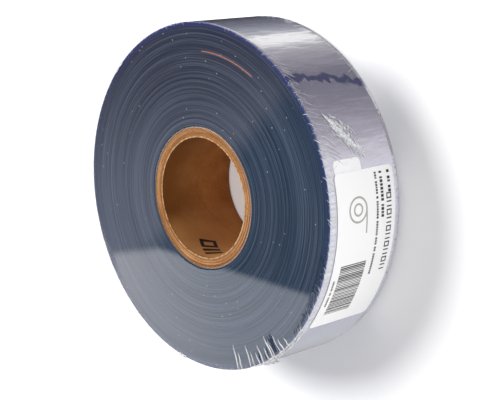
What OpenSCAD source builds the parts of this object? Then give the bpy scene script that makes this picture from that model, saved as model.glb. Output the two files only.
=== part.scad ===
// Roll of clear acetate film wound on a cardboard core and shrink wrapped, with
// a paper label on its side. The roll stands on one end: Z is its axis and the
// origin is the middle of the lower end. Angles run round Z, seen from above.

/* [Core] */
// Inside diameter of the cardboard core
core_bore_d = 76.2; // [50:0.1:90]
// Thickness of the core's wall
core_wall = 7; // [4:0.5:15]
// How far each end of the core sits below the film's end
core_recess = 0.6; // [0.3:0.1:3]
// Board plies in the core's wall
core_plies = 7; // [3:1:12]
// How far every second ply stands back at the ends
ply_step = 0.12; // [0.05:0.01:0.25]

/* [Film] */
// Width that the film is slit to
film_w = 60.3; // [50:0.1:150]
// Diameter over the outermost turn
film_d = 219.4; // [180:0.2:300]
// Bands of turns that show on each end face
turn_bands = 60; // [10:1:80]
// How far the deepest band of turns stands back
turn_step = 0.3; // [0.1:0.05:0.6]

/* [Shrink wrap] */
// Thickness of the wrap
wrap_t = 0.3; // [0.2:0.05:0.6]
// Gap between the bead round the wrap's opening and the core's end
bead_gap = 0.1; // [0.05:0.05:0.2]
// Small pleats round each rim
pleat_count = 60; // [12:1:90]
// Width of a pleat
pleat_w = 0.5; // [0.3:0.1:1]
// How far a pleat stands off the wrap
pleat_h = 0.25; // [0.1:0.05:0.5]
// Longest reach of a small pleat from the rim
pleat_len = 7; // [3:0.5:15]
// Gap between a pleat and the shipping label
pleat_clear = 0.5; // [0.3:0.1:1]
// Long folds where the wrap was gathered and sealed
fold_count = 10; // [3:1:16]
// Longest reach of a long fold over the end face
fold_len = 16; // [8:0.5:30]
// Angle from the shipping label's trailing edge to the middle of the long folds
fold_gap = 19; // [16:1:60]
// Angle between two long folds
fold_pitch = 3.2; // [2:0.1:6]
// How far the sealed tuft stands off the side
tuft_h = 1.2; // [0.6:0.1:3]
// How far the sealed tuft runs down the side
tuft_len = 9; // [4:0.5:20]
// Puckered ridges beside the label
pucker_count = 7; // [3:1:12]
// Length of the longest puckered ridge
pucker_len = 22; // [10:1:40]
// Angle between two puckered ridges
pucker_pitch = 1.6; // [1:0.1:3]
// Slant of the puckered ridges off the roll's axis
pucker_slant = 16; // [0:1:30]
// Radius of a puckered ridge
pucker_r = 0.5; // [0.4:0.05:1]

/* [Labels] */
// Length of the shipping label round the side
label_len = 101.6; // [95:0.1:140]
// Distance from the upper end of the film to the shipping label
label_drop = 5.7; // [3:0.1:8]
// Distance from the lower end of the film to the shipping label
label_foot = 3.8; // [2:0.1:8]
// Thickness of both labels
label_t = 0.15; // [0.1:0.05:0.25]
// Corner radius of both labels
label_corner = 3; // [1:0.5:6]
// Angle of the label's leading edge
label_angle = -91; // [-180:1:180]
// Length of the small label under the wrap
tag_len = 38; // [20:0.5:60]
// Height of the small label under the wrap
tag_h = 23; // [15:0.5:40]
// How far the small label shows ahead of the shipping label
tag_lead = 7.7; // [4:0.1:15]
// Distance from the upper end of the film to the small label
tag_drop = 7; // [3:0.1:15]

/* [Print] */
// Thickness of the printed ink
ink_t = 0.06; // [0.04:0.01:0.1]
// Bare margin ahead of the print
print_margin = 3; // [2:0.1:5]
// Height of the small marks
small_h = 2.3; // [1.5:0.1:3]
// Height of the large marks
big_h = 4.3; // [3:0.1:6]
// Large marks in their row
big_count = 10; // [4:1:14]
// Length of the row of large marks
big_row = 50; // [30:1:60]
// Length of the short word ahead of the large marks
lead_word = 12; // [8:0.5:15]
// Height of the first row of print above the label's lower edge
row_1 = 3.5; // [2:0.1:4]
// Height of the second row of print
row_2 = 10.3; // [10:0.1:11]
// Height of the third row of print
row_3 = 15.2; // [14:0.1:17]
// Length of the second row of print
second_row = 28; // [10:1:60]
// Length of the third row of print
third_row = 64; // [30:1:80]
// Height of the label's strip that holds the rows of print
text_zone = 22; // [20:0.5:26]
// Bars in the bar pattern
bar_count = 30; // [10:1:40]
// Length of the bar pattern round the side
bar_field = 36; // [25:0.5:38]
// Bare strip between the bars and the label's upper edge
bar_foot = 6.7; // [4:0.1:9]
// Bare strip between the bars and the label's trailing edge
bar_end = 9.5; // [3:0.1:12]
// Outside diameter of the round sketch
sketch_d = 16; // [8:0.5:18]
// Height of the marks stamped inside the core
stamp_h = 11.5; // [6:0.5:14]
// Width of each stamped mark
stamp_w = 9; // [4:0.5:12]
// Gap between the stamped marks
stamp_gap = 2.2; // [1:0.1:4]
// Distance from the core's upper end to the middle of the stamp
stamp_drop = 15.5; // [14:0.5:30]
// Depth that the stamp's ink soaks into the core
stamp_depth = 0.1; // [0.05:0.05:0.3]
// Angle of the middle of the stamp
stamp_angle = 149.5; // [-180:0.5:180]
// Slant of the stamp
stamp_slant = 28; // [0:1:45]

/* [Hidden] */
$fn = 180;

bore_r = core_bore_d / 2;
core_r = bore_r + core_wall;
film_r = film_d / 2;
wrap_r = film_r + wrap_t;
label_r = wrap_r + label_t;

film_z0 = wrap_t;
film_z1 = film_z0 + film_w;
wrap_top = film_z1 + wrap_t;
core_z0 = film_z0 + core_recess;
core_z1 = film_z1 - core_recess;

// The bead fills the height between the core's end and the wrap's outer face
bead_r = (core_recess + wrap_t - bead_gap) / 2;
bead_pos = core_r - bead_r;

// Solids that are cut through something overshoot it by this much
over = 1;
// Ridges are rooted this deep in the wrap
root = wrap_t / 2;

function arc_angle(length, radius) = length / radius * 180 / PI;
function odd(i) = i % 2;

label_z = film_z0 + label_foot;
label_h = film_w - label_drop - label_foot;
label_end = label_angle - arc_angle(label_len, wrap_r);
fold_angle = label_end - fold_gap;
tag_z = film_z1 - tag_drop - tag_h;
tag_angle = label_angle + arc_angle(tag_lead, film_r);

// Bands of turns stand back unevenly at the ends, as slit film winds. The
// innermost and outermost bands are flush.
band_w = (film_r - core_r) / turn_bands;
upper_back = rands(0, turn_step, turn_bands, 11);
lower_back = rands(0, turn_step, turn_bands, 23);
function back(set, i) = i < 2 || i > turn_bands - 2 ? 0 : set[i];

// The wrap takes on this share of the bands' relief
wrap_relief = 0.4 * wrap_t / turn_step;

// Outline of one end: a point for each edge between two bands of turns
function end_outline(z, set, lift) =
    [for (i = [0 : turn_bands]) [core_r + i * band_w, z + lift * back(set, i)]];
function reversed(list) = [for (i = [len(list) - 1 : -1 : 0]) list[i]];

// A pleat beside the shipping label ends short of it. Angles count on from the
// label's leading edge, against the way it is read.
label_side = 3;
function label_turn(a) = ((a - label_angle + label_side) % 360 + 360) % 360;
function by_label(a) = label_turn(a) < 2 * label_side
    || label_turn(a) > 360 + label_end - label_angle - label_side;
upper_room = label_drop - pleat_clear;
lower_room = label_foot - pleat_clear;

// Part of a round wall between two radii, centred on the X axis
module wall(r_in, r_out, z, h, turn) {
    rotate([0, 0, -turn / 2])
        rotate_extrude(angle = turn)
            translate([r_in, z]) square([r_out - r_in, h]);
}

module rounded_rect(w, h, corner) {
    translate([corner, 0]) square([w - 2 * corner, h]);
    translate([0, corner]) square([w, h - 2 * corner]);
    for (x = [corner, w - corner])
        for (y = [corner, h - corner])
            translate([x, y]) circle(r = corner, $fn = 48);
}

// Flat shapes wrapped on a round wall: x runs round the wall and y along Z
module stuck_on(r_in, r_out, z, size) {
    intersection() {
        wall(r_in, r_out, z - size, 2 * size, arc_angle(2 * size, r_in));
        translate([0, 0, z])
            rotate([90, 0, 90])
                linear_extrude(r_out + over) children();
    }
}

// Curved sheet with round corners, as long as len when it is laid flat. It
// starts at angle at and runs on clockwise, as the label is read. As a cutter
// it also reaches inwards by deeper.
module side_patch(r_in, r_out, at, len, z, h, corner, deeper = 0) {
    half_turn = arc_angle(len, r_in) / 2;
    chord = 2 * r_in * sin(half_turn);
    rotate([0, 0, at - half_turn])
        stuck_on(r_in - deeper, r_out, z + h / 2, len)
            translate([-chord / 2, -h / 2]) rounded_rect(chord, h, corner);
}

// Spirally wound board tube, with its plies showing at the ends
module core() {
    ply_w = core_wall / core_plies;
    ply_rings = [for (i = [0 : core_plies - 1]) each [
        [bore_r + i * ply_w, odd(i) * ply_step],
        [bore_r + (i + 1) * ply_w, odd(i) * ply_step]
    ]];
    upper = [for (p = ply_rings) [p[0], core_z1 - p[1]]];
    lower = [for (p = ply_rings) [p[0], core_z0 + p[1]]];
    color("peru")
        difference() {
            rotate_extrude() polygon(concat(upper, reversed(lower)));
            stamp_marks();
        }
}

// All the turns of film, as one winding
module film_roll() {
    upper = end_outline(film_z1, upper_back, -1);
    lower = end_outline(film_z0, lower_back, 1);
    color([0.24, 0.28, 0.36]) rotate_extrude() polygon(concat(upper, reversed(lower)));
}

// Clear sleeve drawn over both ends, up to a beaded opening round the core
module shrink_wrap() {
    color([0.75, 0.77, 0.84])
        difference() {
            union() {
                wrap_shell();
                upper_pleats();
                lower_pleats();
                long_folds();
                tuft();
                puckers();
            }
            side_patch(film_r, film_r + label_t, tag_angle, tag_len, tag_z, tag_h, label_corner, over);
        }
}

module wrap_shell() {
    upper = end_outline(wrap_top, upper_back, -wrap_relief);
    lower = end_outline(0, lower_back, wrap_relief);
    rotate_extrude() {
        difference() {
            union() {
                polygon(concat([[bead_pos, wrap_top]], upper, reversed(lower), [[bead_pos, 0]]));
                translate([bead_pos, wrap_t]) square([wrap_r - bead_pos, film_w]);
                for (z = [wrap_t, film_z1])
                    translate([film_r, z]) circle(r = wrap_t, $fn = 48);
            }
            translate([bead_pos - over, film_z0]) square([film_r - bead_pos + over, film_w]);
        }
        for (z = [bead_r, wrap_top - bead_r])
            translate([bead_pos, z]) circle(r = bead_r, $fn = 32);
    }
}

pleat_reach = rands(0.35, 1, pleat_count, 31);
pleat_fall = rands(0.3, 1, pleat_count, 37);
pleat_sway = [for (s = rands(-1, 1, pleat_count, 41)) s * 100 / pleat_count];
pleat_pitch = 360 / pleat_count;

module upper_pleats() {
    for (i = [0 : pleat_count - 1]) {
        a = (i + 0.5) * pleat_pitch + pleat_sway[i];
        fall = pleat_fall[i] * (by_label(a) ? min(upper_room, pleat_len) : pleat_len);
        rotate([0, 0, a]) upper_pleat(pleat_len * pleat_reach[i], fall, pleat_w, pleat_h);
    }
}

module lower_pleats() {
    for (i = [0 : pleat_count - 1]) {
        a = i * pleat_pitch - pleat_sway[i];
        rise = pleat_reach[i] * (by_label(a) ? min(lower_room, pleat_len) : pleat_len);
        rotate([0, 0, a]) lower_pleat(film_z0 + rise);
    }
}

// Thin fin over the upper rim. Its ends sink into the wrap at a slant.
module upper_pleat(reach, fall, w, h) {
    fin(w, [
        [wrap_r - reach, wrap_top - root],
        [film_r, wrap_top + h],
        [wrap_r + h, film_z1],
        [wrap_r - root, wrap_top - fall],
        [wrap_r - root, wrap_top - root]
    ]);
}

// The lower rim has its pleats on the side only, so that the roll stands flat
module lower_pleat(rise) {
    fin(pleat_w, [
        [wrap_r - root, wrap_t],
        [wrap_r + pleat_h, 2 * wrap_t],
        [wrap_r - root, rise]
    ]);
}

module fin(w, outline) {
    rotate([90, 0, 0])
        translate([0, 0, -w / 2])
            linear_extrude(w) polygon(outline);
}

// Folds that fan out over the upper end from the tuft
module long_folds() {
    middle = (fold_count - 1) / 2;
    for (i = [0 : fold_count - 1])
        rotate([0, 0, fold_angle + (i - middle) * fold_pitch])
            upper_pleat(
                fold_len * (1 - abs(i - middle) / fold_count),
                pleat_len,
                pleat_w * (1 + odd(i)),
                pleat_h * 1.4
            );
}

// Gathered and sealed end of the sleeve, on the side just under the rim
module tuft() {
    fins = 5;
    for (i = [0 : fins - 1])
        rotate([0, 0, fold_angle + (i - (fins - 1) / 2) * fold_pitch / 3])
            fin(pleat_w, [
                [wrap_r - root, film_z1],
                [wrap_r + tuft_h * (1 - 0.2 * odd(i)), film_z1 - tuft_len * 0.3],
                [wrap_r + tuft_h * 0.5, film_z1 - tuft_len * 0.8],
                [wrap_r - root, film_z1 - tuft_len]
            ]);
}

// Slanted ridges where the wrap puckered, ahead of the small label. They stop
// within the wrap's thickness.
module puckers() {
    middle = (pucker_count - 1) / 2;
    difference() {
        for (i = [0 : pucker_count - 1])
            rotate([0, 0, tag_angle + (i + 1) * pucker_pitch])
                translate([wrap_r + pleat_h - pucker_r, 0, tag_z + tag_h / 2])
                    rotate([pucker_slant, 0, 0])
                        cylinder(
                            r = pucker_r,
                            h = pucker_len * (1 - abs(i - middle) / pucker_count),
                            center = true,
                            $fn = 24
                        );
        cylinder(r = wrap_r - root, h = wrap_top);
    }
}

// Small paper label on the outermost turn, under the wrap
module under_label() {
    color("whitesmoke")
        side_patch(film_r, film_r + label_t, tag_angle, tag_len, tag_z, tag_h, label_corner);
}

// Shipping label on the wrap
module label() {
    color("white")
        side_patch(wrap_r, label_r, label_angle, label_len, label_z, label_h, label_corner);
}

// One printed mark: start is measured along the label from its leading edge,
// and z from the bottom of the label
module mark(start, z, w, h) {
    rotate([0, 0, label_angle - arc_angle(start + w, label_r)])
        rotate_extrude(angle = arc_angle(w, label_r))
            translate([label_r, label_z + z]) square([ink_t, h]);
}

// A row of words, as dashes of uneven length with gaps between them
module dash_row(start, z, length, h, seed) {
    count = floor(length / (1.6 * h));
    pitch = length / count;
    share = rands(0.45, 0.8, count, seed);
    for (i = [0 : count - 1]) mark(start + i * pitch, z, pitch * share[i], h);
}

module label_print() {
    color([0.17, 0.13, 0.12]) {
        dash_row(print_margin, row_1, lead_word, small_h, 3);
        large_marks(print_margin + lead_word + 1.5, row_1, big_row, big_h);
        dash_row(print_margin, row_2, second_row, small_h, 5);
        dash_row(print_margin, row_3, third_row, small_h * 0.75, 7);
        bar_pattern();
        round_sketch();
    }
}

// Large marks: frames and pairs of bars in turn
module large_marks(start, z, length, h) {
    pitch = length / big_count;
    w = pitch * 0.72;
    line = h * 0.18;
    for (i = [0 : big_count - 1]) {
        x = start + i * pitch;
        if (odd(i) == 0)
            rotate([0, 0, label_angle - arc_angle(x + w / 2, label_r)])
                stuck_on(label_r, label_r + ink_t, label_z + z + h / 2, h) frame(w, h, line);
        else
            for (step = [0, w - line]) mark(x + step, z, line, h);
    }
}

module frame(w, h, line) {
    difference() {
        square([w, h], center = true);
        square([w - 2 * line, h - 2 * line], center = true);
    }
}

// Bars of uneven width, running along the roll's axis, and a row of dashes
module bar_pattern() {
    bar_h = label_h - text_zone - bar_foot;
    first = label_len - bar_end - bar_field;
    pitch = bar_field / bar_count;
    widths = rands(0.25, 0.75, bar_count, 13);
    for (i = [0 : bar_count - 1]) mark(first + i * pitch, text_zone, pitch * widths[i], bar_h);
    dash_h = small_h * 0.6;
    dash_row(first + bar_field / 4, label_h - bar_foot / 2 - dash_h / 2, bar_field / 2, dash_h, 17);
}

// Generic round sketch: a roll seen from its end, with a tail of film
module round_sketch() {
    line = sketch_d * 0.12;
    x = print_margin + lead_word + sketch_d / 2;
    z = text_zone + print_margin + sketch_d / 2;
    rotate([0, 0, label_angle - arc_angle(x, label_r)])
        stuck_on(label_r, label_r + ink_t, label_z + z, 1.2 * sketch_d) {
            for (d = [sketch_d, sketch_d / 2])
                difference() {
                    circle(d = d, $fn = 72);
                    circle(d = d - 2 * line, $fn = 72);
                }
            translate([-sketch_d, -sketch_d / 2 - line / 4]) square([sketch_d, line]);
        }
}

// Marks stamped in the bore, slanted as the paper ply that carries them runs
module stamp_marks() {
    line = stamp_w * 0.27;
    rotate([0, 0, stamp_angle])
        stuck_on(bore_r, bore_r + stamp_depth, core_z1 - stamp_drop, 1.2 * stamp_w + stamp_gap)
            rotate(stamp_slant) {
                translate([-(stamp_gap + stamp_w) / 2, 0]) frame(stamp_w, stamp_h, line);
                for (x = [0, stamp_w - 1.3 * line])
                    translate([stamp_gap / 2 + x, -stamp_h / 2]) square([1.3 * line, stamp_h]);
            }
}

module core_stamp() {
    color("black") stamp_marks();
}

core();
film_roll();
shrink_wrap();
under_label();
label();
label_print();
core_stamp();
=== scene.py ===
import math

import bpy
import numpy as np
from mathutils import Matrix, Vector


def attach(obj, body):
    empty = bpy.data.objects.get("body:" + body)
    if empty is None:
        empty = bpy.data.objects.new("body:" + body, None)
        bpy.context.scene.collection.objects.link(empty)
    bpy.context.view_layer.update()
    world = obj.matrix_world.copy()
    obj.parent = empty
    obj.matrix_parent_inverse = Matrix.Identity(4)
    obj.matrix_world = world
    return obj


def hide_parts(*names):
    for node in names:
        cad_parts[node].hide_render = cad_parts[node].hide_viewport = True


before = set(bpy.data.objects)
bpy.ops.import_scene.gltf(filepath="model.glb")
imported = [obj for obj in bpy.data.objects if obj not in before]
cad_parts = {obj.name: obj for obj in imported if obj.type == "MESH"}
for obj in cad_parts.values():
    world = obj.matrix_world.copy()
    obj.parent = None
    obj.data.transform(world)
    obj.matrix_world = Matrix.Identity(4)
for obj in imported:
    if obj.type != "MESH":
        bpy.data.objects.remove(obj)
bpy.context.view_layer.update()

# Sizes in metres, in the row frame: Z is the roll's axis and the roll stands on z = 0.
BORE_R = 0.0381
CORE_R = 0.0451
FILM_R = 0.1097
WRAP_R = 0.1100
WRAP_T = 0.0003
LABEL_T = 0.00015
INK_T = 0.00006
FILM_TOP = 0.0606
TOP = FILM_TOP + WRAP_T
CORE_LOW, CORE_TOP = 0.0009, 0.0600
BEAD_R = 0.0004
# Radius of the wrap's bend over each rim
ROUND = 0.0003

# The shipping label starts at this angle and runs on clockwise. The small label, or tag, starts ahead of it.
LABEL_ANGLE = -91.0
LABEL_LEN, LABEL_LOW, LABEL_H = 0.1016, 0.0041, 0.0508
TAG_AHEAD = 0.0077
TAG_ANGLE = LABEL_ANGLE + math.degrees(TAG_AHEAD / FILM_R)
TAG_LEN, TAG_LOW, TAG_H = 0.038, 0.0306, 0.023
CORNER = 0.003


# Camera

def turned(axis, angle, v):
    """v turned about an axis, by radians."""
    return Matrix.Rotation(angle, 3, Vector(axis).normalized()) @ v


def add_camera():
    """The photograph's view: from above and in front, with the roll's axis to the lower left."""
    tilt, distance = math.radians(40.825), 0.83575
    roll, yaw, pitch = (math.radians(a) for a in (101.366, -2.1056, -0.0801))
    place = Vector((0, -math.cos(tilt), math.sin(tilt))) * distance
    ahead = -place.normalized()
    right = Vector((1, 0, 0))
    up = right.cross(ahead)
    right, up = turned(ahead, roll, right), turned(ahead, roll, up)
    ahead, right = turned(up, yaw, ahead), turned(up, yaw, right)
    ahead, up = turned(right, pitch, ahead), turned(right, pitch, up)
    data = bpy.data.cameras.new("camera")
    data.sensor_width = 36
    data.lens = 95.97
    data.clip_start = 0.05
    data.clip_end = 20
    camera = bpy.data.objects.new("camera", data)
    camera.matrix_world = Matrix((
        (right.x, up.x, -ahead.x, place.x),
        (right.y, up.y, -ahead.y, place.y),
        (right.z, up.z, -ahead.z, place.z + TOP),
        (0, 0, 0, 1),
    ))
    bpy.context.scene.collection.objects.link(camera)
    bpy.context.scene.camera = camera


# Materials

class Value:
    """A shader socket that sums can be written with. Each operation adds a Math node."""

    def __init__(self, tree, socket):
        self.tree, self.socket = tree, socket

    def math(self, operation, *others):
        node = self.tree.nodes.new("ShaderNodeMath")
        node.operation = operation
        for slot, value in zip(node.inputs, (self, *others)):
            plug(self.tree, value, slot)
        return Value(self.tree, node.outputs[0])

    def __add__(self, other):
        return self.math("ADD", other)

    def __sub__(self, other):
        return self.math("SUBTRACT", other)

    def __mul__(self, other):
        return self.math("MULTIPLY", other)

    def __truediv__(self, other):
        return self.math("DIVIDE", other)

    def ease(self, start, end):
        """0 before start and 1 after end, with a smooth step between them."""
        node = self.tree.nodes.new("ShaderNodeMapRange")
        node.interpolation_type = "SMOOTHSTEP"
        plug(self.tree, self, node.inputs["Value"])
        low, high = (start, end) if start < end else (end, start)
        node.inputs["From Min"].default_value = low
        node.inputs["From Max"].default_value = high
        if start > end:
            node.inputs["To Min"].default_value = 1
            node.inputs["To Max"].default_value = 0
        return Value(self.tree, node.outputs[0])

    def ramp(self, stops):
        """A colour for each of these values, with those between them mixed."""
        node = self.tree.nodes.new("ShaderNodeValToRGB")
        plug(self.tree, self, node.inputs[0])
        elements = node.color_ramp.elements
        elements.remove(elements[1])
        for i, (place, colour) in enumerate(stops):
            element = elements.new(place) if i else elements[0]
            element.position = place
            element.color = rgba(colour)
        return Value(self.tree, node.outputs[0])


def rgba(colour):
    """A grey, or three parts of a colour, as four parts."""
    if isinstance(colour, (int, float)):
        colour = (colour,) * 3
    return (*colour[:3], 1)


def plug(tree, value, slot):
    """Links a Value to a socket, or sets the socket to a plain value."""
    if isinstance(value, Value):
        tree.links.new(value.socket, slot)
    elif isinstance(value, (int, float)) and slot.type in ("RGBA", "VECTOR"):
        slot.default_value = rgba(value)[: len(slot.default_value)]
    elif isinstance(value, tuple):
        slot.default_value = (*value, 1)[: len(slot.default_value)]
    else:
        slot.default_value = value


class Paint:
    """A node tree with short calls for what the materials here are made of."""

    def __init__(self, tree):
        self.tree = tree
        tree.nodes.clear()

    def node(self, kind, out=0, **values):
        node = self.tree.nodes.new("ShaderNode" + kind)
        for name, value in values.items():
            name = name.replace("_", " ")
            slot = next((s for s in node.inputs if s.name.lower() == name and s.enabled), None)
            if slot is not None:
                plug(self.tree, value, slot)
            else:
                setattr(node, name.replace(" ", "_"), value)
        return Value(self.tree, node.outputs[out])

    def place(self, kind="Object"):
        """x, y and z of the point in the row frame, or of the direction in a world."""
        socket = self.node("TexCoord").socket.node.outputs[kind]
        split = self.tree.nodes.new("ShaderNodeSeparateXYZ")
        self.tree.links.new(socket, split.inputs[0])
        return [Value(self.tree, s) for s in split.outputs]

    def vector(self, x, y, z):
        return self.node("CombineXYZ", x=x, y=y, z=z)

    def noise(self, at, scale, detail=2.0, roughness=0.5):
        return self.node("TexNoise", vector=at, scale=scale, detail=detail, roughness=roughness)

    def cells(self, at, scale, flat=False):
        """How far each point is from the nearest of scattered points."""
        node = self.tree.nodes.new("ShaderNodeTexVoronoi")
        node.voronoi_dimensions = "2D" if flat else "3D"
        plug(self.tree, at, node.inputs["Vector"])
        node.inputs["Scale"].default_value = scale
        return Value(self.tree, node.outputs["Distance"])

    def mix(self, factor, a, b):
        node = self.tree.nodes.new("ShaderNodeMix")
        node.data_type = "RGBA"
        plug(self.tree, factor, node.inputs[0])
        plug(self.tree, a, node.inputs[6])
        plug(self.tree, b, node.inputs[7])
        return Value(self.tree, node.outputs[2])

    def bump(self, height, distance, strength):
        return self.node("Bump", height=height, distance=distance, strength=strength)

    def ray(self, kind):
        """1 for rays of this kind and 0 for the others."""
        return Value(self.tree, self.node("LightPath").socket.node.outputs[kind])

    def blend(self, factor, a, b):
        node = self.tree.nodes.new("ShaderNodeMixShader")
        for slot, value in zip(node.inputs, (factor, a, b)):
            plug(self.tree, value, slot)
        return Value(self.tree, node.outputs[0])

    def out(self, shader, kind="OutputMaterial"):
        node = self.tree.nodes.new("ShaderNode" + kind)
        self.tree.links.new(shader.socket, node.inputs["Surface"])


def new_material(name):
    material = bpy.data.materials.new(name)
    material.use_nodes = True
    return material, Paint(material.node_tree)


def axis_distance(x, y):
    """Distance from the roll's axis, in metres."""
    return (x * x + y * y).math("SQRT")


def axis_angle(x, y):
    """Angle round the roll's axis, in degrees."""
    return y.math("ARCTAN2", x) * (180 / math.pi)


def near_angle(x, y, r, angle, half, soft):
    """1 within half degrees of an angle, fading to 0 over soft more."""
    a = math.radians(angle)
    cosine = (x * math.cos(a) + y * math.sin(a)) / r
    return cosine.ease(math.cos(math.radians(half + soft)), math.cos(math.radians(half)))


def face_material():
    """The cut edges of all the turns: deep slate blue, with a fine line for each turn."""
    material, p = new_material("film_edge")
    x, y = p.place()[:2]
    r = axis_distance(x, y)

    def rings(per_metre, along, detail, roughness):
        """Noise that changes from ring to ring, and only slowly along each of them."""
        return p.noise(p.vector(r * per_metre, x * along, y * along), 1.0, detail, roughness)

    fine = rings(1250, 8, 4, 0.7)
    bands = rings(190, 3, 2, 0.6)
    tone = fine * 0.86 + bands * 0.14
    colour = tone.ramp([
        (0.34, (0.006, 0.011, 0.026)),
        (0.46, (0.017, 0.027, 0.051)),
        (0.54, (0.029, 0.042, 0.073)),
        (0.66, (0.076, 0.098, 0.140)),
    ])
    pale_line, dark_line, core_shade = (0.135, 0.155, 0.205), (0.008, 0.011, 0.022), (0.006, 0.008, 0.016)
    pale_turns = rings(1900, 9, 1, 0.5).ease(0.55, 0.68)
    sparse_turns = rings(1200, 7, 1, 0.5).ease(0.64, 0.70)
    lines = pale_turns.math("MAXIMUM", sparse_turns)
    dark_turns = rings(1500, 8, 1, 0.5).ease(0.58, 0.70)
    # A painted shadow darkens the film next to the core, in the gap between them
    core_gap_shadow = r.ease(0.0466, 0.0455)
    colour = p.mix(lines * 0.34, colour, pale_line)
    colour = p.mix(dark_turns * 0.55, colour, dark_line)
    colour = p.mix(core_gap_shadow * 0.85, colour, core_shade)

    # The rim is blue, and most of all ahead of the labels.
    band_blue, rim_blue = (0.018, 0.026, 0.100), (0.026, 0.042, 0.200)
    ahead = near_angle(x, y, r, -52, 62, 42) * 0.74 + 0.26
    rim = r.ease(0.1074, 0.1092) * (fine * 0.9 + 0.35).math("MINIMUM", 1.0)
    colour = p.mix(r.ease(0.1020, 0.1080) * 0.35 * ahead, colour, band_blue)
    colour = p.mix(rim * ahead, colour, rim_blue)

    # Dust, and one long copper-coloured scratch
    dust, copper = (0.60, 0.61, 0.64), (0.52, 0.20, 0.12)
    scratch_r, scratch_angle, scratch_half = 0.0922, -31.5, 13.5
    on_face = p.vector(x, y, 0.0)
    dots = p.cells(on_face, 88, flat=True).ease(0.042, 0.018)
    kept = p.noise(on_face, 34, 1, 0.5).ease(0.50, 0.58)
    wander = (bands - 0.5) * 0.0012
    scratch = (r - scratch_r + wander).math("ABSOLUTE").ease(0.00042, 0.00018)
    scratch = scratch * near_angle(x, y, r, scratch_angle, scratch_half, 1.5)
    colour = p.mix(dots * kept * 0.75, colour, dust)
    colour = p.mix(scratch * (fine * 1.9).math("MINIMUM", 1.0), colour, copper)
    normal = p.bump(fine * 0.5 + lines * 0.5, 0.00010, 0.6)
    p.out(p.node("BsdfPrincipled", base_color=colour, roughness=0.42, specular_ior_level=0.35,
                 anisotropic=0.6, normal=normal))
    return material


def side_material():
    """The outermost turns of the clear film, seen from the side: silvery, with a ragged navy band, and a navy
    patch that is a painted dark reflection.
    """
    material, p = new_material("film_side")
    x, y, z = p.place()
    r, a = axis_distance(x, y), axis_angle(x, y)
    at = p.vector(x, y, z)
    broad = p.noise(p.vector(x * 10, y * 10, z * 4), 1.0, 2, 0.5)
    silver = p.mix(broad, (0.50, 0.485, 0.56), (0.60, 0.585, 0.65))

    # A ragged band over the whole side, and a patch that fades out both ways: the patch is a painted dark
    # reflection
    navy = (0.066, 0.090, 0.270)
    band_angle, patch_angle = -60.5, 4.0
    wobble = p.noise(at, 130, 4, 0.65)
    slow = p.noise(at, 32, 2, 0.5)
    wave = (wobble - 0.5) * 6 + (slow - 0.5) * 9 + (z - 0.03) * -60
    off_band = (a - band_angle + wave).math("ABSOLUTE")
    width = p.noise(p.vector(z * 300, x * 60, 0.0), 1.0, 3, 0.75) * 5.4 - 1.1
    band = (off_band - width).ease(0.35, -0.35) * 0.9
    patch = near_angle(x, y, r, patch_angle, 15, 13) * 0.86
    colour = p.mix(band.math("MAXIMUM", patch), silver, navy)

    dents = p.noise(p.vector(x * 120, y * 120, z * 34), 1.0, 3, 0.6)
    streaks = p.noise(p.vector(x * 60, y * 60, z * 8), 1.0, 3, 0.6)
    normal = p.bump(streaks * 0.15 + dents * 0.85, 0.0011, 0.6)
    p.out(p.node("BsdfPrincipled", base_color=colour, metallic=0.85, roughness=0.06, normal=normal))
    return material


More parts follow.
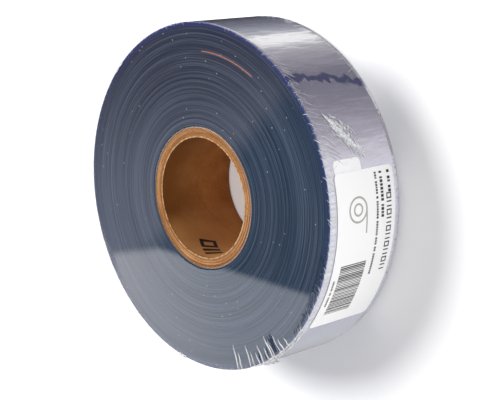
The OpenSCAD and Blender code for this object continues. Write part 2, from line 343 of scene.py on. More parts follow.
def wrap_material():
    """Clear shrink film: see-through and glossy, with fine wrinkles, and milky by the upper rim."""
    material, p = new_material("wrap_clear")
    x, y, z = p.place()
    r, a = axis_distance(x, y), axis_angle(x, y)
    on_side = r.ease(0.1093, 0.1099)
    on_end = on_side * -1 + 1
    from_top = (z - TOP).math("ABSOLUTE")
    from_rim = from_top.math("MINIMUM", z.math("ABSOLUTE"))

    # Milky along the upper rim by the label, in the bead, and in a hatch ahead of the label
    fringe_angle, hatch_angle = -131, -72
    fringe_noise = p.noise(p.vector(a * 1.1, z * 60, 0.0), 1.0, 3, 0.6)
    fringe = on_side * from_top.ease(0.0078, 0.0030) * near_angle(x, y, r, fringe_angle, 38, 16)
    bead = r.ease(0.0453, 0.0450)
    hatch = p.noise(p.vector(a * 1.7 + z * 520, z * 70 - a * 0.2, 0.0), 1.0, 2, 0.55)
    beside = near_angle(x, y, r, hatch_angle, 17, 10) * on_side
    haze = fringe * (fringe_noise * 0.7 + 0.2) + bead * 0.06
    haze = haze + beside * hatch.ease(0.60, 0.72) * from_rim.ease(0.030, 0.004) * 0.28

    # Wrinkles: soft ones on the side, pleats by the rims, and creases at the sealed end
    fold_angle = -158.6
    ripple = p.noise(p.vector(x * 26, y * 26, z * 9), 1.0, 3, 0.55)
    dents = p.noise(p.vector(x * 70, y * 70, z * 34), 1.0, 2, 0.5)
    near_rim = r.ease(0.1030, 0.1085) * on_end * 0.5 + on_side * from_rim.ease(0.011, 0.002)
    pleats = p.noise(p.vector(a * 2.3, r * 160, z * 160), 1.0, 2, 0.5)
    fold_zone = near_angle(x, y, r, fold_angle, 1.2, 1.2) * r.ease(0.0965, 0.0985) * on_end
    creases = p.noise(p.vector(a * 1.6, r * 60, 8.0), 1.0, 1, 0.5).ease(0.40, 0.62) * fold_zone
    height = ripple * on_side * 0.5 + dents * on_side * 0.5 + pleats * near_rim * 0.25 + creases
    height = height + hatch * beside * 0.10
    normal = p.bump(height, 0.0006, 0.6)

    # The index is fitted to how bright the reflections look, and it is inverted on the skin's inner face.
    index = 1.95
    behind = Value(p.tree, p.node("NewGeometry").socket.node.outputs["Backfacing"])
    gloss = p.node("Fresnel", ior=behind * (1 / index - index) + index, normal=normal)
    milk = p.node("BsdfPrincipled", base_color=(0.84, 0.85, 0.90), roughness=0.35)
    clear = p.node("BsdfTransparent", color=(0.985, 0.985, 0.995))
    mirror = p.node("BsdfGlossy", color=(1.0, 1.0, 1.0), roughness=0.02, normal=normal)
    p.out(p.blend(gloss * (creases * -0.8 + 1), p.blend(haze, clear, milk), mirror))
    return material


def fold_material(name, least, most):
    """Gathered shrink film, several layers deep. least and most are how much of it is milky."""
    material, p = new_material(name)
    x, y, z = p.place()
    at = p.vector(x, y, z)
    grain = p.noise(at, 900, 3, 0.6)
    milk = p.node("BsdfPrincipled", base_color=p.mix(grain, (0.84, 0.85, 0.87), (0.98, 0.98, 0.98)),
                  roughness=0.2, normal=p.bump(grain, 0.0003, 0.5))
    clear = p.node("BsdfTransparent", color=(0.97, 0.97, 0.99))
    p.out(p.blend(grain.ease(0.2, 0.75) * (most - least) + least, clear, milk))
    return material


def dark_reflection_material():
    """Dark marks on the wrap by the rim: a painted dark reflection of tilted pleats."""
    material, p = new_material("wrap_dark_reflection")
    x, y, z = p.place()
    grain = p.noise(p.vector(x, y, z), 1200, 2, 0.6)
    colour = p.mix(grain, (0.010, 0.018, 0.050), (0.030, 0.050, 0.110))
    p.out(p.node("BsdfPrincipled", base_color=colour, roughness=0.35, specular_ior_level=0.25,
                 normal=p.bump(grain, 0.0002, 0.4)))
    return material


def paper_material(name, warm):
    """Coated label stock: this colour or a little paler, unevenly."""
    material, p = new_material(name)
    x, y, z = p.place()
    at = p.vector(x, y, z)
    cloud = p.noise(at, 45, 3, 0.5)
    fibre = p.noise(at, 1600, 3, 0.6)
    paler = tuple(min(1.0, part * 1.05) for part in warm)
    colour = p.mix(cloud * 0.6 + fibre * 0.4, warm, paler)
    p.out(p.node("BsdfPrincipled", base_color=colour, roughness=0.55, specular_ior_level=0.3,
                 normal=p.bump(fibre, 0.00004, 0.4)))
    return material


def ink_material(name, dark, worn, wear):
    """Printed or stamped ink, with small gaps where it took badly."""
    material, p = new_material(name)
    x, y, z = p.place()
    patch = p.noise(p.vector(x, y, z), 700, 3, 0.7).ease(0.62, 0.75)
    p.out(p.node("BsdfPrincipled", base_color=p.mix(patch * wear, dark, worn), roughness=0.6,
                 specular_ior_level=0.3))
    return material


def board_noise(p, at):
    """The fibres and the broader blotches of kraft board."""
    return p.noise(at, 950, 4, 0.65), p.noise(at, 70, 3, 0.55)


def board_out(p, colour, height):
    p.out(p.node("BsdfPrincipled", base_color=colour, roughness=0.82, specular_ior_level=0.2,
                 normal=p.bump(height, 0.0002, 0.9)))


def bore_material():
    """The paper of the bore, wound in a spiral, with painted shade that deepens towards the upper end and a
    painted pool of light on one side.
    """
    material, p = new_material("board_bore")
    x, y, z = p.place()
    r, a = axis_distance(x, y), axis_angle(x, y)
    at = p.vector(x, y, z)
    fibre, blotch = board_noise(p, at)
    tone = fibre * 0.45 + blotch * 0.55
    colour = tone.ramp([
        (0.3, (0.32, 0.125, 0.030)),
        (0.5, (0.46, 0.200, 0.060)),
        (0.7, (0.58, 0.285, 0.105)),
    ])
    shade, light = (0.11, 0.033, 0.003), (0.66, 0.35, 0.13)
    seam_brown, speck = (0.20, 0.085, 0.026), (0.55, 0.34, 0.18)
    # Painted shade towards the upper end, and a painted pool of light on one side
    upper = z.ease(0.012, 0.058)
    lit = near_angle(x, y, r, 160, 22, 44)
    colour = p.mix((lit * -0.78 + 0.88) * upper, colour, shade)
    colour = p.mix(lit * 0.4, colour, light)
    seam_rise = 0.118
    turn = z * (1 / seam_rise) + a * (1 / 360)
    seam = (turn.math("FRACT") - 0.5).math("ABSOLUTE").ease(0.010, 0.004)
    colour = p.mix(seam * 0.10, colour, seam_brown)
    specks = p.cells(at, 420).ease(0.16, 0.05) * p.noise(at, 130, 1).ease(0.55, 0.66)
    colour = p.mix(specks * 0.45, colour, speck)
    board_out(p, colour, fibre * 0.6 - seam * 0.2)
    return material


def board_end_material():
    """The cut end of the core: fine rings of its plies, with a pale line between two of them, a worn pale
    mouth and a darker outside."""
    material, p = new_material("board_end")
    x, y, z = p.place()
    r = axis_distance(x, y)
    at = p.vector(x, y, z)
    fibre, blotch = board_noise(p, at)
    plies = p.noise(p.vector(r * 1300, x * 12, y * 12), 1.0, 3, 0.7)
    tone = fibre * 0.34 + plies * 0.5 + blotch * 0.16
    colour = tone.ramp([
        (0.34, (0.12, 0.045, 0.012)),
        (0.46, (0.25, 0.104, 0.034)),
        (0.55, (0.34, 0.158, 0.060)),
        (0.68, (0.58, 0.36, 0.19)),
    ])
    pale_r, pale, worn, dark = 0.0421, (0.62, 0.42, 0.24), (0.68, 0.47, 0.28), (0.13, 0.055, 0.018)
    ring = (r - pale_r).math("ABSOLUTE").ease(0.00035, 0.0001) * p.noise(at, 60, 2).ease(0.38, 0.6)
    mouth = r.ease(0.0396, 0.0384) * p.noise(at, 420, 3, 0.7).ease(0.36, 0.6)
    outside = r.ease(0.0444, 0.0450)
    colour = p.mix(ring * 0.5, colour, pale)
    colour = p.mix(mouth * 0.75, colour, worn)
    colour = p.mix(outside * 0.6, colour, dark)
    board_out(p, colour, plies * 0.8 + fibre * 0.5)
    return material


# Meshes

def grid(points, close_rows=False, close_columns=False):
    """Vertices and four-sided faces of a grid of points."""
    rows, columns = points.shape[:2]
    i, j = np.meshgrid(np.arange(rows if close_rows else rows - 1),
                       np.arange(columns if close_columns else columns - 1), indexing="ij")
    i2, j2 = (i + 1) % rows, (j + 1) % columns
    faces = np.stack([i * columns + j, i2 * columns + j, i2 * columns + j2, i * columns + j2], -1)
    return points.reshape(-1, 3), faces.reshape(-1, 4)


class Build:
    """Gathers vertices, faces and their material numbers for one piece."""

    def __init__(self):
        self.verts, self.faces, self.marks, self.count = [], [], [], 0

    def add(self, verts, faces, mark=0):
        faces = np.asarray(faces)
        self.verts.append(np.asarray(verts, float))
        self.faces.extend((faces + self.count).tolist())
        self.marks.extend([mark] * len(faces) if np.isscalar(mark) else list(mark))
        self.count += len(verts)

    def piece(self, name, materials, slot, replaces=(), smooth=True):
        mesh = bpy.data.meshes.new(name)
        mesh.from_pydata(np.concatenate(self.verts).tolist(), [], self.faces)
        for material in materials:
            mesh.materials.append(material)
        mesh.polygons.foreach_set("material_index", np.array(self.marks, np.int32))
        mesh.polygons.foreach_set("use_smooth", np.full(len(self.faces), smooth))
        mesh.validate()
        mesh.update()
        piece = bpy.data.objects.new(name, mesh)
        bpy.context.scene.collection.objects.link(piece)
        if replaces:
            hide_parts(*replaces)
        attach(piece, "root")
        return piece


def revolve(profile, steps, shift=None, closed=True):
    """A profile of (radius, height) turned round Z. shift, of shape (steps, points, 2), moves each point."""
    profile = np.asarray(profile, float)
    rz = np.broadcast_to(profile, (steps, len(profile), 2)).copy()
    if shift is not None:
        rz += shift
    a = np.linspace(0, 2 * np.pi, steps, endpoint=False)[:, None]
    points = np.stack([rz[..., 0] * np.cos(a), rz[..., 0] * np.sin(a), rz[..., 1]], -1)
    return grid(points, close_rows=True, close_columns=closed)


def ring_noise(rng, steps, lowest, highest, rough=1.0):
    """Smooth random values round a circle, within about -1 and 1."""
    a = np.linspace(0, 2 * np.pi, steps, endpoint=False)
    total = np.zeros(steps)
    for k in range(lowest, highest + 1):
        total += rng.normal() * k ** -rough * np.cos(k * a + rng.uniform(0, 2 * np.pi))
    return total / np.abs(total).max()


def at_angle(angle, radius, z):
    """Points at an angle round the roll's axis, in degrees."""
    a = np.radians(angle)
    return np.stack([radius * np.cos(a), radius * np.sin(a), np.broadcast_to(z, np.shape(a))], -1)


def add_core():
    """The tube of the core: every other ply dips a little at the ends, and the bore's upper mouth is torn."""
    rng = np.random.default_rng(3)
    steps, plies = 360, 7
    dip, uneven = 0.00012, 0.00006
    width = (CORE_R - BORE_R) / plies
    up = np.linspace(CORE_LOW, CORE_TOP, 24)
    ends = []
    for i in range(plies - 1, -1, -1):
        for share in (0.92, 0.5, 0.08):
            ends.append((BORE_R + (i + share) * width, dip * (i % 2)))
    outer = [(CORE_R, z) for z in up]
    upper = [(r, CORE_TOP - d) for r, d in ends]
    bore = [(BORE_R, z) for z in up[::-1]]
    lower = [(r, CORE_LOW + d) for r, d in ends[::-1]]
    profile = np.array(outer + upper + bore + lower)
    count = len(profile)
    first = len(outer)
    mouth = first + len(upper)
    last = mouth + len(bore) - 1
    shift = np.zeros((steps, count, 2))
    for j in range(first, mouth):
        shift[:, j, 1] += uneven * ring_noise(rng, steps, 6, 90, 0.4) - uneven
    tears = np.clip(ring_noise(rng, steps, 3, 120, 0.35), 0, 1) ** 2
    shift[:, mouth, 0] += 0.0001 + 0.0004 * tears
    shift[:, mouth, 1] -= 0.0001
    shift[:, mouth + 1: last, 0] += 0.00004 * ring_noise(rng, steps, 2, 9)[:, None]
    verts, faces = revolve(profile, steps, shift)
    columns = np.tile(np.arange(count), steps)
    build = Build()
    build.add(verts, faces, np.where((columns >= mouth) & (columns < last), 1, 0))
    build.piece("core_tube", [board_end_material(), bore_material()], "core_board", ["core"])


def winding_ends(count, seed):
    """How far each ring of turns stands back from the end of the roll."""
    rng = np.random.default_rng(seed)
    back = 0.00014 * rng.random(count) ** 1.3
    back[:2] = back[-3:] = 0
    return back


def add_film():
    """The wound film, its ends stepped in fine rings."""
    steps, rings = 240, 130
    radii = np.linspace(FILM_R, CORE_R, rings)
    side = [(FILM_R, z) for z in np.linspace(WRAP_T, FILM_TOP, 26)[:-1]]
    upper = [(r, FILM_TOP - b) for r, b in zip(radii, winding_ends(rings, 11))]
    inner = [(CORE_R, FILM_TOP * 0.5)]
    lower = [(r, WRAP_T + b) for r, b in zip(radii[::-1], winding_ends(rings, 23))]
    profile = side + upper + inner + lower[:-1]
    verts, faces = revolve(profile, steps)
    columns = np.tile(np.arange(len(profile)), steps)
    build = Build()
    build.add(verts, faces, np.where(columns < len(side), 1, 0))
    build.piece("film_winding", [face_material(), side_material()], "film", ["film_roll"])


def add_wrap():
    """One clear skin over the side and both ends, rolled into a bead round each opening."""
    steps = 480
    turn = np.linspace(0, np.pi / 2, 7)
    side = [(WRAP_R, z) for z in np.linspace(WRAP_T, FILM_TOP, 40)]
    rim = [(FILM_R + WRAP_T * math.cos(t), FILM_TOP + WRAP_T * math.sin(t)) for t in turn[1:]]
    face = [(r, TOP) for r in np.linspace(FILM_R, CORE_R - BEAD_R, 46)[1:]]
    bead = [(CORE_R - BEAD_R + BEAD_R * math.cos(t), TOP - BEAD_R + BEAD_R * math.sin(t))
            for t in np.linspace(np.pi / 2, np.pi * 2.2, 15)[1:]]
    half = rim + face + bead
    under = [(r, TOP - z) for r, z in half[::-1]]
    profile = np.array(under + side + half)
    radius, height = profile.T
    on_side = radius > FILM_R + 1e-6

    # Slow waves round the side, leaning a little up or down it
    rng = np.random.default_rng(5)
    around = np.linspace(0, 2 * np.pi, steps, endpoint=False)[:, None]
    swell = 0
    for k in range(8, 34):
        size, lean, start = rng.normal(), rng.uniform(-90, 90), rng.uniform(0, 6)
        swell = swell + size * np.cos(k * around + lean * height[None, :] + start)
    shift = np.zeros((steps, len(profile), 2))
    shift[..., 0] += 0.000012 * swell * on_side
    verts, faces = revolve(profile, steps, shift, closed=False)
    build = Build()
    build.add(verts, faces)
    build.piece("wrap_sleeve", [wrap_material()], "wrap", ["shrink_wrap"])


def skin(angle, down, lift, lower=False):
    """A point on the wrap. down is measured over the upper rim: inwards over the end where it is negative,
    and down the side where it is positive. lift is how far the point stands off the wrap. With lower, the
    same is measured over the lower rim."""
    angle, down, lift = np.broadcast_arrays(*(np.asarray(v, float) for v in (angle, down, lift)))
    bend = np.clip(down / (2 * ROUND) + 0.5, 0, 1) * (np.pi / 2)
    inward, fall = np.minimum(down + ROUND, 0), np.maximum(down - ROUND, 0)
    radius = WRAP_R - ROUND + inward + (ROUND + lift) * np.sin(bend)
    z = TOP - ROUND - fall + (ROUND + lift) * np.cos(bend)
    z = TOP - z if lower else z
    a = np.radians(angle)
    return np.stack([radius * np.cos(a), radius * np.sin(a), z], -1)


def add_ridge(build, angles, downs, width, height, mark=0, lower=False):
    """A thin crease of the wrap along a path, fine at both its ends."""
    angles, downs = np.asarray(angles, float), np.asarray(downs, float)
    t = np.linspace(0, 1, len(angles))
    full = np.sin(np.pi * np.clip(t, 0.04, 0.96)) ** 0.6
    centre = skin(angles, downs, -0.00003, lower)
    top = skin(angles, downs, height * full, lower)
    along = np.gradient(centre, axis=0)
    across = np.cross(along, top - centre)
    across /= np.maximum(np.linalg.norm(across, axis=1, keepdims=True), 1e-12)
    half = (width / 2 * full)[:, None]
    rows = np.stack([centre - across * half, top, centre + across * half], 1)
    build.add(*grid(rows, close_columns=True), mark)


def add_crumple(build, rng, middle, down, length, height, spread, lean, mark=0, lower=False):
    """A small crushed flap of the wrap: a strip folded back and forth along the rim."""
    steps, rows = 28, 7
    t, s = np.linspace(-1, 1, steps)[:, None], np.linspace(0, 1, rows)[None, :]
    full = np.sqrt(np.maximum(0, 1 - t ** 2)) * 0.85 + 0.15
    zigzag = rng.normal(size=(steps, rows)) * 0.35
    zigzag = zigzag + np.sin(t * rng.uniform(14, 20) + rng.uniform(0, 6) + s * 3)
    angle = middle + spread * t + lean * s + rng.normal(size=(steps, rows)) * 0.25
    fall = down + length * s * full + 0.0002 * zigzag
    lift = np.clip(height * s * full * (0.65 + 0.35 * zigzag), -0.00002, None)
    build.add(*grid(skin(angle, fall, lift, lower)), mark)


def add_pleats():
    """Small pleats and nicks round both rims of the wrap, and a few flaps on the upper one."""
    rng = np.random.default_rng(9)
    build = Build()
    pleat, nick = 0, 1
    lean = np.linspace(-1, 1, 9)
    for lower in (False, True):
        for a in rng.uniform(-180, 180, 200):
            reach, fall = rng.uniform(0.0004, 0.0024, 2)
            by_label = -150 < a < -84 and not lower
            path = np.linspace(-reach, min(fall, 0.004) if by_label else fall * 1.6, 9)
            add_ridge(build, a + rng.normal() * 0.4 * lean, path, rng.uniform(0.00015, 0.0003),
                      rng.uniform(0.00004, 0.00011), pleat, lower)
        nicks = np.arange(-72, -150, -3.9) + rng.uniform(-1.7, 1.7, 20)
        for a in nicks:
            reach = rng.uniform(0.0010, 0.0030)
            path = np.linspace(-reach, rng.uniform(0.0006, 0.0024), 9)
            add_ridge(build, a - rng.uniform(0.4, 1.1) * lean, path, rng.uniform(0.0003, 0.0005),
                      rng.uniform(0.00012, 0.00026), nick, lower)
    flaps = ((28.0, 0.0014, 1.1), (31.5, 0.0008, 0.9), (153.4, 0.0019, 1.4), (96.0, 0.0007, 0.7))
    for a, height, spread in flaps:
        add_crumple(build, rng, a, -0.0009, 0.0026, height, spread, 0.4, nick)
    for a in rng.uniform(-60, -14, 26):
        add_ridge(build, a + rng.normal() * 0.8 * lean, np.linspace(0.0008, rng.uniform(0.003, 0.008), 9),
                  rng.uniform(0.0003, 0.0007), rng.uniform(0.0002, 0.0005), pleat, lower=True)
    materials = [fold_material("wrap_gathered", 0.3, 0.75), fold_material("wrap_nicks", 0.72, 1.0)]
    build.piece("wrap_pleats", materials, "wrap")


def add_puckers():
    """The creases beside the labels, where the wrap shrank unevenly: fine lines from the rim, a crushed
    patch ahead of the small label, and long soft folds between them."""
    rng = np.random.default_rng(21)
    build = Build()
    crease, foil = 0, 1

    # Fine lines from the rim, ahead of the labels and then along the shipping label
    for a in np.linspace(-40, -84, 44) + rng.normal(size=44) * 0.5:
        long = rng.uniform(0.004, 0.013) * (1.2 if a < -62 else 0.7)
        path = np.linspace(rng.uniform(0.0006, 0.002), long, 12)
        slant = np.linspace(0, rng.uniform(1.2, 3.6), 12) * -1
        add_ridge(build, a + slant, path, rng.uniform(0.00016, 0.0003), rng.uniform(0.00004, 0.0001), crease)
    for a in np.linspace(-83, -110, 34) + rng.normal(size=34) * 0.4:
        path = np.linspace(rng.uniform(0.0003, 0.001), rng.uniform(0.0045, 0.0068), 10)
        slant = np.linspace(0, rng.uniform(0.8, 2.2), 10)
        add_ridge(build, a - slant, path, rng.uniform(0.0002, 0.0004), rng.uniform(0.00005, 0.00012), crease)

    # Long folds: angle, distance from the rim and length
    t = np.linspace(0, 1, 16)
    long_folds = ((-81.5, 0.0035, 0.013), (-83.2, 0.002, 0.016), (-79.0, 0.004, 0.010), (-85.0, 0.005, 0.012))
    for a, start, long in long_folds:
        add_ridge(build, a - 3.2 * t + 0.5 * np.sin(5 * t), start + long * t, 0.0007, 0.0002, crease)

    # The crushed patch: a lens of ridges that runs slantwise down the side, the first ones broad
    ridges, broad_ridges = 150, 52
    patch_angle, patch_turn, patch_down, patch_fall = -73, 14, 0.013, 0.022
    t = np.linspace(0, 1, 10)
    for i in range(ridges):
        broad = i < broad_ridges
        centre = rng.beta(1.5, 1.5)
        offset = rng.normal() * math.sin(math.pi * centre) * (1.2 if broad else 2.1)
        reach = rng.uniform(0.05, 0.24)
        share = np.clip(centre + (t - 0.5) * reach, -0.05, 1.05)
        wave = 0.35 * np.sin(t * rng.uniform(4, 9) + rng.uniform(0, 6))
        angles = patch_angle - patch_turn * share + offset + wave + rng.normal() * 0.8 * (t - 0.5)
        width = rng.uniform(0.0009, 0.0022) if broad else rng.uniform(0.00018, 0.0007)
        height = rng.uniform(0.00005, 0.00012) if broad else rng.uniform(0.00012, 0.00035)
        add_ridge(build, angles, patch_down + patch_fall * share + 0.0009 * offset, width, height, foil)
    for a, low in zip(rng.uniform(-140, -92, 46), rng.uniform(0.0005, 0.002, 46)):
        path = np.linspace(low, low + rng.uniform(0.001, 0.003), 7)
        add_ridge(build, a + np.linspace(0, rng.normal() * 0.8, 7), path, 0.0003, 0.00008, crease)
    materials = [fold_material("wrap_creased", 0.28, 0.7), fold_material("wrap_foil", 0.35, 1.0)]
    build.piece("wrap_puckers", materials, "wrap")


def add_gathers():
    """The sealed end of the wrap: folds that fan in over the end of the roll, a crushed tuft at the rim, and
    a ragged strip from there to the label."""
    rng = np.random.default_rng(33)
    build = Build()
    tuft, thin_fold, dark_reflection = 0, 1, 2

    # White folds: angle, and the radius that each reaches in to
    folds = [(-178.6, 0.094), (-176.8, 0.099), (-172.0, 0.0956), (-170.4, 0.1005), (-168.0, 0.1020),
             (-165.8, 0.0985), (-163.0, 0.1015), (-160.8, 0.0952), (-159.9, 0.0990), (-156.5, 0.0971),
             (-154.9, 0.1025), (-152.0, 0.1040)]
    t = np.linspace(0, 1, 18)
    for a, tip in folds:
        pull = rng.normal() * 0.5 * t
        path = (tip - WRAP_R) * (1 - t) + 0.0016 * t
        add_ridge(build, a + pull + 0.12 * np.sin(9 * t + a), path, rng.uniform(0.0006, 0.0012),
                  rng.uniform(0.00025, 0.00042), tuft)
        add_ridge(build, a + pull + 0.42, path * 0.8, 0.0003, 0.00012, thin_fold)

    # Dark ticks and broader dark patches, both painted dark reflections on the wrap: angle and reach
    lean = np.linspace(1.1, -0.3, 9)
    for a in np.arange(-118, -147, -1.15) + rng.uniform(-0.4, 0.4, 26):
        out = rng.uniform(0.0014, 0.0022)
        tip = out + rng.uniform(0.0018, 0.0044)
        add_ridge(build, a + lean * rng.uniform(0.6, 1.2), np.linspace(-tip, -out, 9),
                  rng.uniform(0.0006, 0.0010), 0.00005, dark_reflection)
    patches = ((-156.8, 0.0105), (-157.7, 0.0125), (-158.7, 0.0115), (-159.4, 0.0075), (-162.1, 0.0085),
               (-163.6, 0.0060), (-166.6, 0.0080))
    for a, tip in patches:
        add_ridge(build, a + np.linspace(0.3, -0.3, 12), np.linspace(-tip, -0.0010, 12),
                  rng.uniform(0.0009, 0.0019), 0.00006, dark_reflection)

    # The tuft, the ragged strip that grows towards it, and a few flaps beyond it
    tuft_angle, strip_start, strip_end = -163.2, -143.5, -162.0
    for _ in range(14):
        a = tuft_angle + rng.normal() * 1.5
        down, length = rng.uniform(-0.0008, 0.0012), rng.uniform(0.0024, 0.0052)
        height, spread = rng.uniform(0.0014, 0.0036), rng.uniform(0.8, 1.9)
        add_crumple(build, rng, a, down, length, height, spread, rng.normal(), tuft)
    for a in np.arange(strip_start, strip_end, -0.5):
        near = (a - strip_start) / (strip_end - strip_start)
        middle = a + rng.normal() * 0.2
        down, length = rng.uniform(-0.0005, 0.0003), rng.uniform(0.0022, 0.0040)
        height, spread = rng.uniform(0.0003, 0.0007) + 0.0011 * near ** 3, rng.uniform(0.5, 0.9)
        add_crumple(build, rng, middle, down, length, height, spread, rng.normal() * 0.8, tuft)
    for a in (-166.2, -168.5, -171.5, -176.0, 177.0):
        add_crumple(build, rng, a, -0.0003, 0.0016, rng.uniform(0.0003, 0.0007), 0.8, rng.normal(), tuft)
    materials = [fold_material("wrap_tuft", 0.86, 1.0), fold_material("wrap_thin_fold", 0.2, 0.6),
                 dark_reflection_material()]
    build.piece("wrap_gathers", materials, "wrap")


# Printed marks

def border(points):
    """The points along the four edges of a grid, once round."""
    return np.concatenate([points[0], points[1:, -1], points[-1, -2::-1], points[-2:0:-1, 0]])


def cut_edge(build, inner, outer, mark=0):
    """The narrow wall between the borders of two grids."""
    build.add(*grid(np.stack([border(inner), border(outer)], 1), close_rows=True), mark)


def wall_patch(build, s, z, radius, thick, mark=0):
    """A thin curved plate on a round wall. s, in metres from the label's leading edge, and z are grids."""
    angle = LABEL_ANGLE - np.degrees(s / radius)
    inner, outer = at_angle(angle, radius, z), at_angle(angle, radius + thick, z)
    build.add(*grid(outer), mark)
    cut_edge(build, inner, outer, mark)


def mark_box(build, start, low, width, height, mark=0):
    """A printed box. start and low are measured from the label's leading edge and lower edge."""
    s, z = np.meshgrid(np.linspace(start, start + width, max(2, int(width / 0.0015) + 2)),
                       [low, low + height], indexing="ij")
    wall_patch(build, s, z + LABEL_LOW, WRAP_R + LABEL_T, INK_T, mark)


def mark_ring(build, s0, z0, outer, inner, mark=0):
    """A printed ring, of two radii round its middle."""
    a = np.linspace(0, 2 * np.pi, 73)[:, None]
    r = np.array([inner, outer])[None, :]
    wall_patch(build, s0 + r * np.cos(a), z0 + r * np.sin(a) + LABEL_LOW, WRAP_R + LABEL_T, INK_T, mark)


def dash_row(build, rng, start, low, length, height):
    """A row of short dashes in groups, in place of a line of print."""
    x = start
    while x < start + length:
        width = height * rng.uniform(0.45, 0.8)
        mark_box(build, x, low, width, height)
        x += width + height * (0.28 if rng.random() < 0.8 else 0.9)


def add_print():
    """Generic marks in place of the label's print: a row of frames and bars, rows of dashes, a code of bars,
    and a round sketch of a roll with its loose end."""
    rng = np.random.default_rng(13)
    build = Build()
    grey = 1
    margin, head_low, head_h = 0.003, 0.0035, 0.0023
    dash_row(build, rng, margin, head_low, 0.012, head_h)

    # Frames, with two bars in place of every other one
    first_box, box_pitch, boxes = 0.0165, 0.005, 10
    box_w, box_h, line = 0.0036, 0.0043, 0.00078
    for i in range(boxes):
        x = first_box + i * box_pitch
        if i % 2 == 0:
            mark_box(build, x, head_low, box_w, line)
            mark_box(build, x, head_low + box_h - line, box_w, line)
        mark_box(build, x, head_low, line, box_h)
        mark_box(build, x + box_w - line, head_low, line, box_h)
    dash_row(build, rng, margin, 0.0103, 0.028, head_h)
    dash_row(build, rng, margin, 0.0152, 0.064, 0.0017)

    code_len, code_low, bars = 0.036, 0.022, 30
    after_code, above_code = 0.0095, 0.0067
    code_h = LABEL_H - code_low - above_code
    code_start = LABEL_LEN - after_code - code_len
    pitch = code_len / bars
    for i, share in enumerate(rng.uniform(0.25, 0.75, bars)):
        mark_box(build, code_start + i * pitch, code_low, pitch * share, code_h)
    dash_row(build, rng, code_start + 0.009, LABEL_H - 0.0043, 0.018, 0.0014)

    sketch_s, sketch_z, sketch_r = 0.023, 0.033, 0.008
    mark_ring(build, sketch_s, sketch_z, sketch_r, 0.0068, grey)
    mark_ring(build, sketch_s, sketch_z, 0.004, 0.0028, grey)
    mark_box(build, sketch_s, sketch_z - sketch_r, 0.015, 0.0011, grey)
    inks = [ink_material("print_ink", (0.028, 0.022, 0.018), (0.22, 0.20, 0.18), 0.3),
            ink_material("print_grey", (0.40, 0.39, 0.36), (0.66, 0.65, 0.61), 0.7)]
    build.piece("label_ink", inks, "ink", ["label_print"], smooth=False)


def add_paper(name, node, radius, angle, length, low, height, material):
    """A curved paper label with round corners: a grid that narrows to its corners, with a cut edge."""
    near_end = np.array([0, 0.0002, 0.0006, 0.0012, 0.002])
    rows = np.concatenate([near_end, np.linspace(CORNER, length - CORNER, 40), length - near_end[::-1]])
    from_end = np.minimum(rows, length - rows)
    round_off = CORNER - np.sqrt(np.maximum(0, CORNER ** 2 - (CORNER - from_end) ** 2))
    inset = np.where(from_end < CORNER, round_off, 0)[:, None]
    t = np.linspace(0, 1, 14)[None, :]
    z = low + inset + t * (height - 2 * inset)
    s = np.broadcast_to(rows[:, None], z.shape)
    a = angle - np.degrees(s / radius)
    outer = at_angle(a, radius + LABEL_T, z)
    inner = at_angle(a, radius, z)
    build = Build()
    build.add(*grid(outer))
    cut_edge(build, inner, outer)
    verts, faces = grid(inner)
    build.add(verts, faces[:, ::-1])
    build.piece(name, [material], "label_paper", [node])


# Light and ground

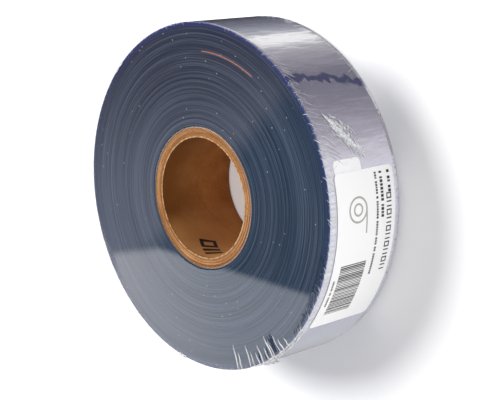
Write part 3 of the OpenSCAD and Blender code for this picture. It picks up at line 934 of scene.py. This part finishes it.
def add_world():
    """A plain room. The camera sees it white, and it lights the roll with an even grey. What gloss mirrors
    has a bright table and soft boxes in a darker studio."""
    world = bpy.data.worlds.new("studio")
    bpy.context.scene.world = world
    world.use_nodes = True
    p = Paint(world.node_tree)
    x, y, z = p.place("Generated")

    # What the side mirrors, for directions below the horizon: degrees round Z, and a tone
    low_tones = (
        (-180, (0.95, 0.95, 0.99)), (-96, (1.15, 1.15, 1.17)), (-81, (1.0, 0.98, 1.0)),
        (-68, (0.64, 0.62, 0.65)), (-55, (0.46, 0.44, 0.49)), (-42, (0.31, 0.295, 0.34)),
        (-28, (0.23, 0.22, 0.27)), (-15, (0.27, 0.255, 0.29)), (-3, (0.48, 0.465, 0.49)),
        (6, (0.58, 0.57, 0.57)), (11, (0.72, 0.72, 0.71)), (13, (1.36, 1.37, 1.28)),
        (25, (1.40, 1.42, 1.32)), (26.5, (0.74, 0.76, 0.77)), (33, (0.42, 0.44, 0.49)),
        (48, (0.18, 0.19, 0.24)), (60, (0.13, 0.13, 0.16)), (72, (0.06, 0.06, 0.08)),
        (95, (0.09, 0.09, 0.13)), (112, (0.52, 0.52, 0.54)), (130, (0.66, 0.68, 0.71)),
        (150, (0.72, 0.74, 0.78)), (180, (0.95, 0.95, 0.99)),
    )
    azimuth = y.math("ARCTAN2", x) / (2 * math.pi) + 0.5
    low = azimuth.ramp([(degrees / 360 + 0.5, tone) for degrees, tone in low_tones])

    def past_plane(nx, ny, nz, start, end):
        """An edge across the sky, on a plane through its middle. The roll's upper end mirrors it."""
        return (x * nx + y * ny + z * nz).ease(start, end)

    dark_room, warm_wall, grey_wall = (0.00, 0.07, 0.135), (0.11, 0.07, 0.06), (0.48, 0.51, 0.60)
    table_tone, table_glare, plain_sky = (1.12, 1.21, 1.33), (2.05, 2.02, 2.04), (0.42, 0.44, 0.49)
    wall = past_plane(0.79, 0.397, -0.4672, -0.012, 0.010)
    room = p.mix(wall, dark_room, p.mix(x.ease(0.115, 0.005), warm_wall, grey_wall))
    table = past_plane(0.9956, -0.0311, 0.088, 0.004, -0.004)
    table = table.math("MINIMUM", past_plane(0.8748, -0.2842, 0.3924, -0.001, -0.007))
    high = p.mix(table, room, p.mix(y.ease(0.735, 0.83), table_tone, table_glare))
    high = p.mix(z.ease(0.30, 0.60), plain_sky, high)
    mirrored = p.mix(z.ease(-0.05, 0.05), low, high)

    even_light, white = (0.46, 0.46, 0.48), (1.0, 1.0, 1.0)
    seen = p.ray("Is Camera Ray").math("MAXIMUM", p.ray("Is Transmission Ray"))
    colour = p.mix(p.ray("Is Glossy Ray"), even_light, mirrored)
    colour = p.mix(seen, colour, white)
    p.out(p.node("Background", color=colour, strength=1.0), "OutputWorld")


def add_lamp(name, azimuth, elevation, distance, size, energy):
    """A round lamp that faces the frame's origin and doesn't show in gloss. Angles are in degrees."""
    data = bpy.data.lights.new(name, "AREA")
    data.shape = "DISK"
    data.size = size
    data.energy = energy
    lamp = bpy.data.objects.new(name, data)
    a, e = math.radians(azimuth), math.radians(elevation)
    direction = Vector((math.cos(a) * math.cos(e), math.sin(a) * math.cos(e), math.sin(e)))
    lamp.location = direction * distance
    lamp.rotation_euler = direction.to_track_quat("Z", "Y").to_euler()
    lamp.visible_glossy = False
    bpy.context.scene.collection.objects.link(lamp)


def add_floor():
    """A pale table with a glow that only the camera sees: in the bore, beside the roll where the photograph's
    table is bright, and far away."""
    material, p = new_material("table")
    x, y, z = p.place()
    r = axis_distance(x, y)
    bore_glow, side_glow, far_glow, least_glow = 0.30, 0.4, 0.8, 0.02
    in_bore = r.ease(0.0415, 0.0375)
    beside = near_angle(x, y, r, 5, 55, 30) * r.ease(0.150, 0.112) * r.ease(0.100, 0.108)
    far = r.ease(0.35, 1.6)
    glow = (in_bore * bore_glow + beside * side_glow + far * far_glow + least_glow) * p.ray("Is Camera Ray")
    grain = p.noise(p.vector(x, y, z), 30, 2, 0.5)
    colour = p.mix(grain, (0.92, 0.92, 0.925), (0.94, 0.94, 0.945))
    p.out(p.node("BsdfPrincipled", base_color=colour, roughness=0.9, specular_ior_level=0.0,
                 emission_color=(1.0, 1.0, 1.0), emission_strength=glow))
    half, sunk = 4, 0.0001
    mesh = bpy.data.meshes.new("table")
    corners = [(-half, -half, 0), (half, -half, 0), (half, half, 0), (-half, half, 0)]
    mesh.from_pydata(corners, [], [(0, 1, 2, 3)])
    mesh.materials.append(material)
    table = bpy.data.objects.new("table", mesh)
    table.location.z = -sunk
    table.visible_glossy = False
    bpy.context.scene.collection.objects.link(table)


def ink_stamp():
    """The stamp's solids stay as they are, and only take on ink."""
    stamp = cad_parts["core_stamp"]
    stamp.data.materials.clear()
    stamp.data.materials.append(ink_material("stamp_ink", (0.006, 0.004, 0.003), (0.05, 0.025, 0.012), 0.3))


add_camera()
add_world()
add_lamp("key", azimuth=52, elevation=56, distance=1.3, size=0.55, energy=16)
add_lamp("fill", azimuth=-118, elevation=20, distance=1.5, size=1.0, energy=8.5)
add_floor()
add_core()
add_film()
add_wrap()
add_pleats()
add_puckers()
add_gathers()
add_paper("label_paper", "label", WRAP_R, LABEL_ANGLE, LABEL_LEN, LABEL_LOW, LABEL_H,
          paper_material("label_stock", (0.87, 0.865, 0.855)))
add_paper("tag_paper", "under_label", FILM_R, TAG_ANGLE, TAG_LEN, TAG_LOW, TAG_H,
          paper_material("tag_stock", (0.88, 0.87, 0.85)))
add_print()
ink_stamp()

bpy.context.scene.view_settings.view_transform = "Standard"
